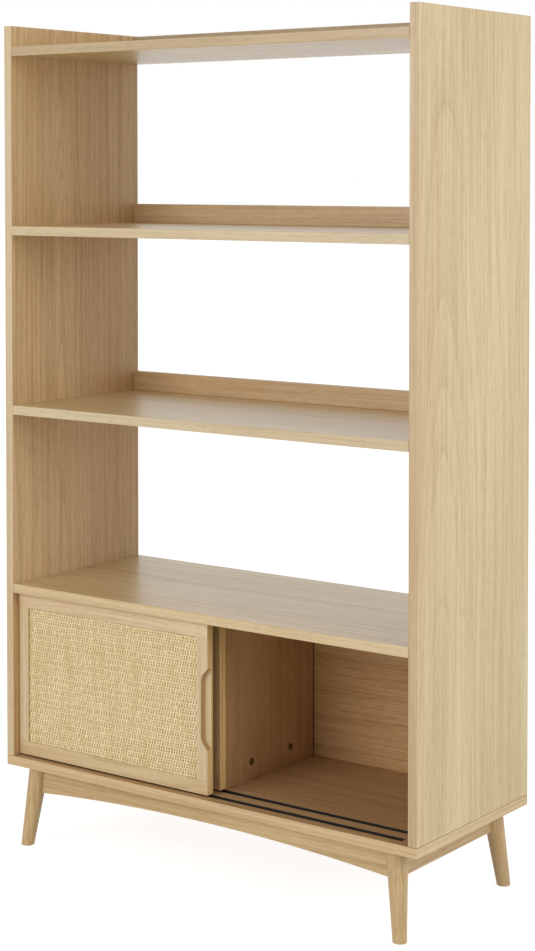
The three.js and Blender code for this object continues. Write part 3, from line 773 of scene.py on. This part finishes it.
def leg_cone(name, clearance=0.0, sides=64):
    """The leg's cone in the right rear corner, longer than the leg at both ends."""
    axis = LEG_TOP - LEG_FOOT
    foot, top = LEG_FOOT - axis * LEG_OVERHANG, LEG_TOP + axis * LEG_OVERHANG
    taper = (LEG_TOP_RADIUS - LEG_FOOT_RADIUS) * LEG_OVERHANG
    return start(name, bpy.ops.mesh.primitive_cone_add, vertices=sides, depth=(top - foot).length,
                 radius1=LEG_FOOT_RADIUS - taper + clearance, radius2=LEG_TOP_RADIUS + taper + clearance,
                 location=(top + foot) / 2, rotation=axis.to_track_quat("Z", "Y").to_euler())


def to_corner(piece, corner):
    """Mirrors a piece from the right rear corner into another one, with its faces outward."""
    sign_x, sign_y = CORNERS[corner]
    piece.scale = (sign_x, sign_y, 1)
    settle(piece)
    if sign_x * sign_y < 0:
        choose_all(piece)
        bpy.ops.mesh.normals_make_consistent(inside=False)
        done()
    return piece


first_leg = leg_cone("turned_leg_back_right")
for level, lower in ((FOOT_LEVEL, True), (FRAME_HEIGHT - LEG_TOP_GAP, False)):
    split(first_leg, (0, 0, level), (0, 0, 1), use_fill=True, clear_inner=lower, clear_outer=not lower)
choose(first_leg, "EDGE", lambda a, b: max(a.z, b.z) < FOOT_LEVEL + NEAR)
bpy.ops.mesh.bevel(offset=FOOT_EASE, segments=4, affect="EDGES")
done()
legs = {"back_right": first_leg}
for corner in list(CORNERS)[1:]:
    legs[corner] = to_corner(duplicate(first_leg, f"turned_leg_{corner}"), corner)
for corner, leg in legs.items():
    smooth(leg)
    dress(leg, "case", "oak_turned", f"leg_{corner}", wood["leg"])
print("legs:", {corner: len(leg.data.polygons) for corner, leg in legs.items()})

# %% [markdown]
# ## The aprons
# Boards on edge join the legs. The front and back ones have a long shallow arch in their lower edge. On
# the bench it would be bent with a batten and sawn; here a very large drum, 4.7 m in radius, cuts exactly
# that arc. Each apron is then coped round the legs by the leg's own cone, a hair wider.

# %% Aprons
ARCH_RISE, ARCH_HALF, ARCH_SIDES, APRON_END_LEVEL = 19.5 * MM, 427 * MM, 1500, 110 * MM
ARCH_RADIUS = (ARCH_HALF ** 2 + ARCH_RISE ** 2) / (2 * ARCH_RISE)
COPE_FIT = 0.3 * MM


def make_apron(place, made, arched):
    """One apron in its node's place."""
    low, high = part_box(f"apron_{place}")
    piece = start_box(f"apron_board_{place}", low, high)
    if arched:
        centre = Vector((0, (low.y + high.y) / 2, APRON_END_LEVEL + ARCH_RISE - ARCH_RADIUS))
        width = high.y - low.y + 2 * OVERCUT
        carve(piece, drum("arch cutter", centre, ARCH_RADIUS, width, (0, 1, 0), ARCH_SIDES))
    ease_edges(piece)
    for corner in CORNERS:
        if place in corner:
            carve(piece, to_corner(leg_cone("cope cutter", COPE_FIT), corner))
    smooth(piece)
    dress(piece, "case", "oak_turned", f"apron_{place}", made)


for place in ("front", "back", "left", "right"):
    arched = place in ("front", "back")
    make_apron(place, wood["apron_long" if arched else "apron_side"], arched)
print("aprons: arch radius", round(ARCH_RADIUS, 3), "m")

# %% [markdown]
# ## What hides under the case
# Corner braces, bolts with their nuts, and foot glides hold the frame together out of sight. The frame's
# own shapes are right for the braces and bolts, so they stay and only get a finish. The glides are
# remade, because a moulded disc has a rounded rim.

# %% Braces, bolts and foot glides
def refinish(node, made):
    """Gives a CAD node's object a finish in place of its own."""
    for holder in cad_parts[node].material_slots:
        holder.material = made


for corner in CORNERS:
    refinish(f"corner_brace_{corner}", wood["brace"])
    refinish(f"leg_bolt_{corner}", zinc)
    low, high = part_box(f"foot_glide_{corner}")
    glide = drum(f"foot_disc_{corner}", (low + high) / 2, (high.x - low.x) / 2, high.z - low.z)
    soften(glide)
    dress(glide, "case", "grey_nylon", f"foot_glide_{corner}", grey_nylon)
print("underside finished")


# %% [markdown]
# ## The door frames
# Each sliding door is an oak frame, 18 mm thick: two rails run the whole width and two stiles stand
# between them. A groove all round the inside holds the cane and its backing board. One stile has a finger
# pull, a pocket with slanting ends that is open to the door's edge. Its cutter is made first, as a jig
# would be: a block, its inner side drawn in, the two inner corners rounded.

# %% Finger pull
PULL_WIDTH, PULL_DEPTH, PULL_HALF, PULL_INNER_HALF, PULL_ROUND = 15.5 * MM, 12 * MM, 79 * MM, 62 * MM, 9 * MM


def pull_cutter(edge_x, inwards, front, middle):
    """The finger pull's pocket as a solid. Its inner side lies inwards from the door's edge."""
    overshoot = (PULL_HALF - PULL_INNER_HALF) / PULL_WIDTH * OVERCUT
    inner, outer = edge_x + inwards * PULL_WIDTH, edge_x - inwards * OVERCUT
    half = PULL_HALF + overshoot
    tool = start_box("pull cutter", (min(inner, outer), front - OVERCUT, middle - half),
                     (max(inner, outer), front + PULL_DEPTH, middle + half))
    choose(tool, "VERT", lambda place: abs(place.x - inner) < NEAR)
    bpy.ops.transform.resize(value=(1, 1, PULL_INNER_HALF / half))
    done()
    choose(tool, "EDGE", lambda a, b: max(abs(a.x - inner), abs(b.x - inner)) < NEAR and abs(a.y - b.y) > MM)
    bpy.ops.mesh.bevel(offset=PULL_ROUND, segments=10, affect="EDGES")
    done()
    return tool


print("pull:", 2 * PULL_HALF, "m high")

# %% [markdown]
# The groove for the panel runs along each member on the side that faces the door's middle. The bottom
# rail also has two mortises for the glides it slides on, and the top rail two holes for its guide pins. A
# door stands off its track by a small gap at its foot, and its left end is drawn in a little, so that
# both show as dark lines.

# %% Grooves, mortises and holes
RECESS, PANEL_STACK, GROOVE_DEPTH, STILE_WIDTH = 3 * MM, 6 * MM, 8 * MM, 26.5 * MM
PIN_HOLE_RADIUS, MORTISE_FIT, MORTISE_HALF = 4.3 * MM, 0.3 * MM, 3 * MM


def groove_cutter(low, high, side):
    """The cutter for the panel groove in a rail or stile, which reaches in from the named side."""
    near, far = Vector(low), Vector(high)
    near.y, far.y = low.y + RECESS, low.y + RECESS + PANEL_STACK
    rail = side in ("above", "below")
    along, across, inset = (0, 2, STILE_WIDTH - GROOVE_DEPTH) if rail else (2, 0, -OVERCUT)
    near[along], far[along] = low[along] + inset, high[along] - inset
    if side in ("above", "right"):
        near[across], far[across] = high[across] - GROOVE_DEPTH, high[across] + OVERCUT
    else:
        near[across], far[across] = low[across] - OVERCUT, low[across] + GROOVE_DEPTH
    return start_box("groove cutter", near, far)


def mortise_cutter(door, place, low):
    """The cutter for a glide's mortise in the foot of the bottom rail."""
    near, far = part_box(f"{door}_glide_{place}")
    middle, reach = (near.y + far.y) / 2, MORTISE_HALF + MORTISE_FIT
    return start_box("mortise cutter", (near.x - MORTISE_FIT, middle - reach, low.z - OVERCUT),
                     (far.x + MORTISE_FIT, middle + reach, far.z + MORTISE_FIT))


def pin_hole_cutter(door, place, high):
    """The cutter for a guide pin's hole in the top rail."""
    near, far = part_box(f"{door}_guide_pin_{place}")
    centre = Vector(((near.x + far.x) / 2, (near.y + far.y) / 2, (near.z + high.z) / 2))
    return drum("pin hole cutter", centre + Vector((0, 0, OVERCUT - MORTISE_FIT)), PIN_HOLE_RADIUS,
                high.z - near.z + 2 * OVERCUT, sides=32)


print("groove:", GROOVE_DEPTH, "m deep")

# %% Door frames
DOOR_ARRIS, FOOT_GAP, END_GAP, BACKING_EASE = 0.7 * MM, 1.5 * MM, 0.7 * MM, 0.4 * MM
# Each door's pull side, and the oak of its top rail, bottom rail and stiles.
DOORS = {
    # The front door's foot has darker oak than its top: painted shade.
    "front_door": ("right", "door_rail", "door_foot_shaded", "door_stile"),
    # The rear door's darker oak is painted shade.
    "rear_door": ("left", "rear_rail", "rear_rail", "rear_stile"),
}


def frame_member(door, label, side, made, pull_inwards=0):
    """One rail or stile of a door, with its groove and, where it has one, its finger pull."""
    low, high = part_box(f"{door}_{label}")
    left_end, right_end = (corner.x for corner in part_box(f"{door}_rail_top"))
    trimmed = Vector((END_GAP if low.x < left_end + MM else 0, 0, FOOT_GAP if label == "rail_bottom" else 0))
    piece = start_box(f"{door}_frame_{label}", low + trimmed, high)
    if pull_inwards:
        edge = high.x if pull_inwards < 0 else low.x
        carve(piece, pull_cutter(edge, pull_inwards, low.y, (low.z + high.z) / 2))
    ease_edges(piece, DOOR_ARRIS)
    carve(piece, groove_cutter(low, high, side))
    for place in ("left", "right"):
        if label == "rail_bottom":
            carve(piece, mortise_cutter(door, place, low))
        if label == "rail_top":
            carve(piece, pin_hole_cutter(door, place, high))
    smooth(piece)
    dress(piece, door, "door_oak", f"{door}_{label}", wood[made])
    # The side walls, and the walls in the pull, take the brown oak: painted shade.
    veneer(piece, "door_brown_shade", lambda place, normal: abs(normal.x) > PARTLY or (
        pull_inwards and low.x + MM < place.x < high.x - MM and abs(normal.y) < PARTLY))
    # The outer end faces take the paler edge oak, partly painted light.
    veneer(piece, "door_edge", lambda place, normal: abs(normal.x) > PARTLY and not
           left_end + 2 * MM < place.x < right_end - MM)


for door, (pull, top, bottom, stile) in DOORS.items():
    frame_member(door, "rail_top", "below", top)
    frame_member(door, "rail_bottom", "above", bottom)
    for side, other, inwards in (("left", "right", 1), ("right", "left", -1)):
        frame_member(door, f"stile_{side}", other, stile, inwards if side == pull else 0)
        refinish(f"{door}_glide_{side}", black_plastic)
        refinish(f"{door}_guide_pin_{side}", black_plastic)
    backing = start_box(f"{door}_backing_board", *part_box(f"{door}_backing"))
    soften(backing, BACKING_EASE, 2)
    dress(backing, door, "backing_board", f"{door}_backing", wood["backing"])

# %% [markdown]
# ## The woven cane
# The cane is woven close: thin upright strands pass over three flat level strands, then dive under the
# fourth, and each upright is half a repeat off its neighbours. Seen from the front this gives a pale
# ground of long floats, with a dark dash in a chequered order wherever an upright dives. The weave is
# real geometry: one repeat of an upright strand is shaped, its neighbour is made the same way, and the
# two are repeated over the panel. The level strands lie nearly straight. Each strand has only four sides,
# because there are over a hundred of them, and smooth shading rounds it.

# %% Upright strand
UPRIGHT_PITCH, REPEAT_HEIGHT, STRAND_THICKNESS = 3.22 * MM, 23.5 * MM, 0.5 * MM
UPRIGHT_WIDTH, WAVE_HEIGHT, CREST, LEAN = 2.95 * MM, 0.72 * MM, 0.7, 0.35 * MM
WAVE = ((0.0, 1.0), (0.26, 0.9), (0.36, -0.7), (0.5, -1.0), (0.64, -0.7), (0.74, 0.9), (1.0, 1.0))


def narrow_front(piece, front, value):
    """Makes a strand narrower in front, so that its section is rounded like split cane."""
    choose(piece, "VERT", lambda place: place.y < front)
    bpy.ops.transform.resize(value=value)
    done()


def upright_strand(foot):
    """One repeat of an upright strand, which passes over three level strands and dives under the fourth."""
    half = Vector((UPRIGHT_WIDTH / 2, STRAND_THICKNESS / 2, 0))
    strand = start_box("upright strand", foot - half, foot + half + Vector((0, 0, REPEAT_HEIGHT)))
    choose(strand, "EDGE", lambda a, b: abs(a.z - b.z) > REPEAT_HEIGHT / 2)
    bpy.ops.mesh.subdivide(number_cuts=len(WAVE) - 2)
    done()
    narrow_front(strand, foot.y, (CREST, 1, 1))
    step = REPEAT_HEIGHT / (len(WAVE) - 1)
    for index, (share, height) in enumerate(WAVE):
        level = foot.z + index * step
        aside, up = LEAN * math.sin(math.tau * share), share * REPEAT_HEIGHT - index * step
        choose(strand, "VERT", lambda place: abs(place.z - level) < step / 8)
        bpy.ops.transform.translate(value=(aside, -height * WAVE_HEIGHT, up))
        done()
    choose(strand, "FACE", lambda place, normal: abs(normal.z) > SQUARELY)
    bpy.ops.mesh.delete(type="FACE")
    done()
    return strand


print("repeat:", REPEAT_HEIGHT, "m high,", 2 * UPRIGHT_PITCH, "m wide")

# %% [markdown]
# Each upright is a little off its place in the real weave, sideways, up and down and in depth, and its
# neighbour is off by another amount. Soft noise moves them here. While it does, the panel is squeezed to
# a twelfth of its height, so that the noise changes from strand to strand and hardly at all along a
# strand.

# %% Rows and jitter
MERGE, SQUEEZE = 0.02 * MM, 0.08
# How far the noise moves an upright each way, and how wide the noise is.
JITTER = {"X": (0.78 * MM, 2.9 * MM), "Y": (0.78 * MM, 3.77 * MM), "Z": (0.84 * MM, 3.335 * MM)}


def repeat(piece, count, step):
    """Repeats a piece in a row; ends that meet are joined."""
    apply_modifier(piece, "ARRAY", count=count, use_relative_offset=False, use_constant_offset=True,
                   constant_offset_displace=step, use_merge_vertices=True, merge_threshold=MERGE)


def wander(piece, direction, strength, size):
    """Moves a piece's points to and fro along one direction, by soft noise."""
    drift = bpy.data.textures.new(f"{piece.name} {direction}", type="CLOUDS")
    drift.noise_scale = size
    apply_modifier(piece, "DISPLACE", texture=drift, texture_coords="LOCAL", direction=direction,
                   strength=strength, mid_level=0.5)


def squeeze(piece, share):
    """Shortens or lengthens a piece from the floor up."""
    choose_all(piece)
    bpy.ops.transform.resize(value=(1, 1, share), center_override=(0, 0, 0))
    done()


def make_uprights(first, rows, columns):
    """All upright strands of a panel: two neighbours, half a repeat apart, copied up and across."""
    uprights = upright_strand(first)
    neighbour = upright_strand(first + Vector((UPRIGHT_PITCH, 0, -REPEAT_HEIGHT / 2)))
    activate(neighbour, uprights)
    bpy.ops.object.join()
    uprights = bpy.context.object
    repeat(uprights, rows, (0, 0, REPEAT_HEIGHT))
    repeat(uprights, columns, (2 * UPRIGHT_PITCH, 0, 0))
    squeeze(uprights, SQUEEZE)
    for direction, (strength, size) in JITTER.items():
        wander(uprights, direction, strength, size)
    squeeze(uprights, 1 / SQUEEZE)
    return uprights


print("jitter:", JITTER["X"][0], "m aside,", JITTER["Z"][0] / SQUEEZE, "m along")

# %% Woven panels
LEVEL_WIDTH, LEVEL_CREST, LEVEL_CUTS = 5.45 * MM, 0.7, 40
WANDER, WANDER_SIZE = 4 * MM, 0.03


def make_levels(low, high, first):
    """All level strands of a panel; every fourth lies in the middle of a window between two floats."""
    pitch = REPEAT_HEIGHT / 4
    lowest = first.z + pitch * math.ceil((low.z + LEVEL_WIDTH / 2 - first.z) / pitch)
    half = Vector((0, STRAND_THICKNESS / 2, LEVEL_WIDTH / 2))
    left, right = Vector((low.x, first.y, lowest)), Vector((high.x, first.y, lowest))
    levels = start_box("level strand", left - half, right + half)
    choose(levels, "EDGE", lambda a, b: abs(a.x - b.x) > LEVEL_WIDTH)
    bpy.ops.mesh.subdivide(number_cuts=LEVEL_CUTS)
    done()
    narrow_front(levels, first.y, (1, 1, LEVEL_CREST))
    repeat(levels, math.floor((high.z - lowest - LEVEL_WIDTH / 2) / pitch) + 1, (0, 0, pitch))
    return levels


def make_cane(door):
    """The woven panel of one door."""
    low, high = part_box(f"{door}_cane_panel")
    middle = (low.y + high.y) / 2
    columns = math.floor((high.x - low.x - UPRIGHT_WIDTH) / UPRIGHT_PITCH / 2)
    rows = math.ceil((high.z - low.z) / REPEAT_HEIGHT) + 1
    side_gap = (high.x - low.x - (2 * columns - 1) * UPRIGHT_PITCH) / 2
    first = Vector((low.x + side_gap, middle, low.z - REPEAT_HEIGHT / 3))
    uprights = make_uprights(first, rows, columns)
    levels = make_levels(low, high, first)
    for piece in (uprights, levels):
        wander(piece, "Z", WANDER, WANDER_SIZE)
    wander(uprights, "X", WANDER / 2, WANDER_SIZE)
    for piece, made in ((uprights, cane_upright), (levels, cane_level)):
        piece.data.materials.append(made)
        activate(piece)
        bpy.ops.object.shade_smooth()
    activate(levels, uprights)
    bpy.ops.object.join()
    panel = bpy.context.object
    for corner, outward in ((low, -1), (high, 1)):
        split(panel, corner, (0, 0, outward), use_fill=True, clear_outer=True)
    panel.name = panel.data.name = f"{door}_woven_cane"
    # How deep each point lies, which the cane material turns into painted shade.
    nearest = middle - WAVE_HEIGHT - STRAND_THICKNESS / 2
    sunk = panel.data.attributes.new("sunk", "FLOAT", "POINT")
    for vertex, value in zip(panel.data.vertices, sunk.data):
        value.value = min(1.0, max(0.0, (vertex.co.y - nearest) / (2 * WAVE_HEIGHT)))
    dress(panel, door, "woven_cane", f"{door}_cane_panel")
    return panel


for door in DOORS:
    panel = make_cane(door)
    panel.data.calc_loop_triangles()
    print(panel.name, len(panel.data.loop_triangles), "triangles")


# %% [markdown]
# ## The studio
# The photograph was taken with a long lens, turned 36 degrees to the right of the front and held almost
# level, with the lens shifted down so that the uprights stay upright. Here the camera is pitched down by
# two degrees, which needs less shift and keeps the case in view from other sides too. Light comes from
# all round, with a large soft lamp in front on the left and one on the right, a little to the front. The
# floor is pale and keeps a soft shadow; to the camera, and in glossy reflections, floor and surroundings
# are white.

# %% Camera
CAMERA_PLACE, CAMERA_TURN, CAMERA_PITCH = (2.42527, -3.24987, 1.3804), 0.63676, math.radians(2)
FOCAL_PIXELS, PICTURE_HEIGHT, CENTRE_ROW, SENSOR = 2044.3, 951, 246.82, 36.0
bpy.ops.object.camera_add(location=CAMERA_PLACE, rotation=(math.pi / 2 - CAMERA_PITCH, 0, CAMERA_TURN))
camera = bpy.context.object
camera.name = "studio_camera"
camera.data.sensor_width = SENSOR
camera.data.lens = FOCAL_PIXELS / PICTURE_HEIGHT * SENSOR
camera.data.shift_y = (CENTRE_ROW - PICTURE_HEIGHT / 2) / PICTURE_HEIGHT
bpy.context.scene.camera = camera
print("lens", round(camera.data.lens, 1), "mm, shift", round(camera.data.shift_y, 3))

# %% Floor
WHITE = (1.0, 1.0, 1.0, 1.0)
FLOOR_HALF, FLOOR_BOUNCE, FLOOR_ROUGHNESS = 40.0, (0.74, 0.7, 0.6, 1), 0.9
FLOOR_SHADE, FLOOR_GLOW = (0.6, 0.6, 0.6, 1), 0.79


def white_to_the_eye(tree, lit, seen, *kinds):
    """Mixes two shaders: what lights the object, and what the camera and other kinds of ray see."""
    rays = put(tree, "ShaderNodeLightPath").outputs
    share = rays["Is Camera Ray"]
    for kind in kinds:
        share = reckon(tree, "MAXIMUM", share, rays[f"Is {kind} Ray"])
    return put(tree, "ShaderNodeMixShader", {0: share, 1: lit, 2: seen}).outputs[0]


bpy.ops.mesh.primitive_plane_add(size=2 * FLOOR_HALF, location=(0, 0, 0))
floor = bpy.context.object
floor.name = "studio_floor"
floor_paint, tree, shader = new_material("studio floor")
wire(tree, shader, {"Base Color": FLOOR_BOUNCE, "Roughness": FLOOR_ROUGHNESS, "Specular IOR Level": 0.0})
shade = put(tree, "ShaderNodeBsdfDiffuse", {"Color": FLOOR_SHADE}).outputs[0]
glow = put(tree, "ShaderNodeEmission", {"Color": WHITE, "Strength": FLOOR_GLOW}).outputs[0]
pale = put(tree, "ShaderNodeAddShader", {0: shade, 1: glow}).outputs[0]
either = white_to_the_eye(tree, shader.outputs[0], pale, "Glossy")
wire(tree, tree.nodes["Material Output"], {"Surface": either})
floor.data.materials.append(floor_paint)
print("floor", floor.dimensions[:])

# %% Light
SURROUND, SURROUND_TONE = 0.52, (1.0, 0.985, 0.96, 1)
LAMP_AIM = Vector((0, 0, 0.9))
# Each lamp's place, its width in metres and its power in watts.
LAMPS = {"lamp_front": ((-0.9, -3.7, 1.8), 2.0, 58), "lamp_right": ((3.55, -0.6, 2.0), 1.6, 49)}
world = bpy.data.worlds.new("studio")
bpy.context.scene.world = world
world.use_nodes = True
tree = world.node_tree
tree.nodes.clear()
light = put(tree, "ShaderNodeBackground", {"Color": SURROUND_TONE, "Strength": SURROUND}).outputs[0]
white = put(tree, "ShaderNodeBackground", {"Color": WHITE, "Strength": 1.0}).outputs[0]
put(tree, "ShaderNodeOutputWorld", {0: white_to_the_eye(tree, light, white, "Glossy", "Transmission")})
for name, (place, width, power) in LAMPS.items():
    facing = (LAMP_AIM - Vector(place)).to_track_quat("-Z", "Y").to_euler()
    bpy.ops.object.light_add(type="AREA", location=place, rotation=facing)
    lamp = bpy.context.object
    lamp.name = name
    lamp.data.shape, lamp.data.size, lamp.data.energy = "SQUARE", width, power
print("surround", SURROUND, "lamps", list(LAMPS))

# %% [markdown]
# ## The colour view
# The colour view is set to Standard, so that the colours render as they are written.

# %% Finish
bpy.context.scene.view_settings.view_transform = "Standard"
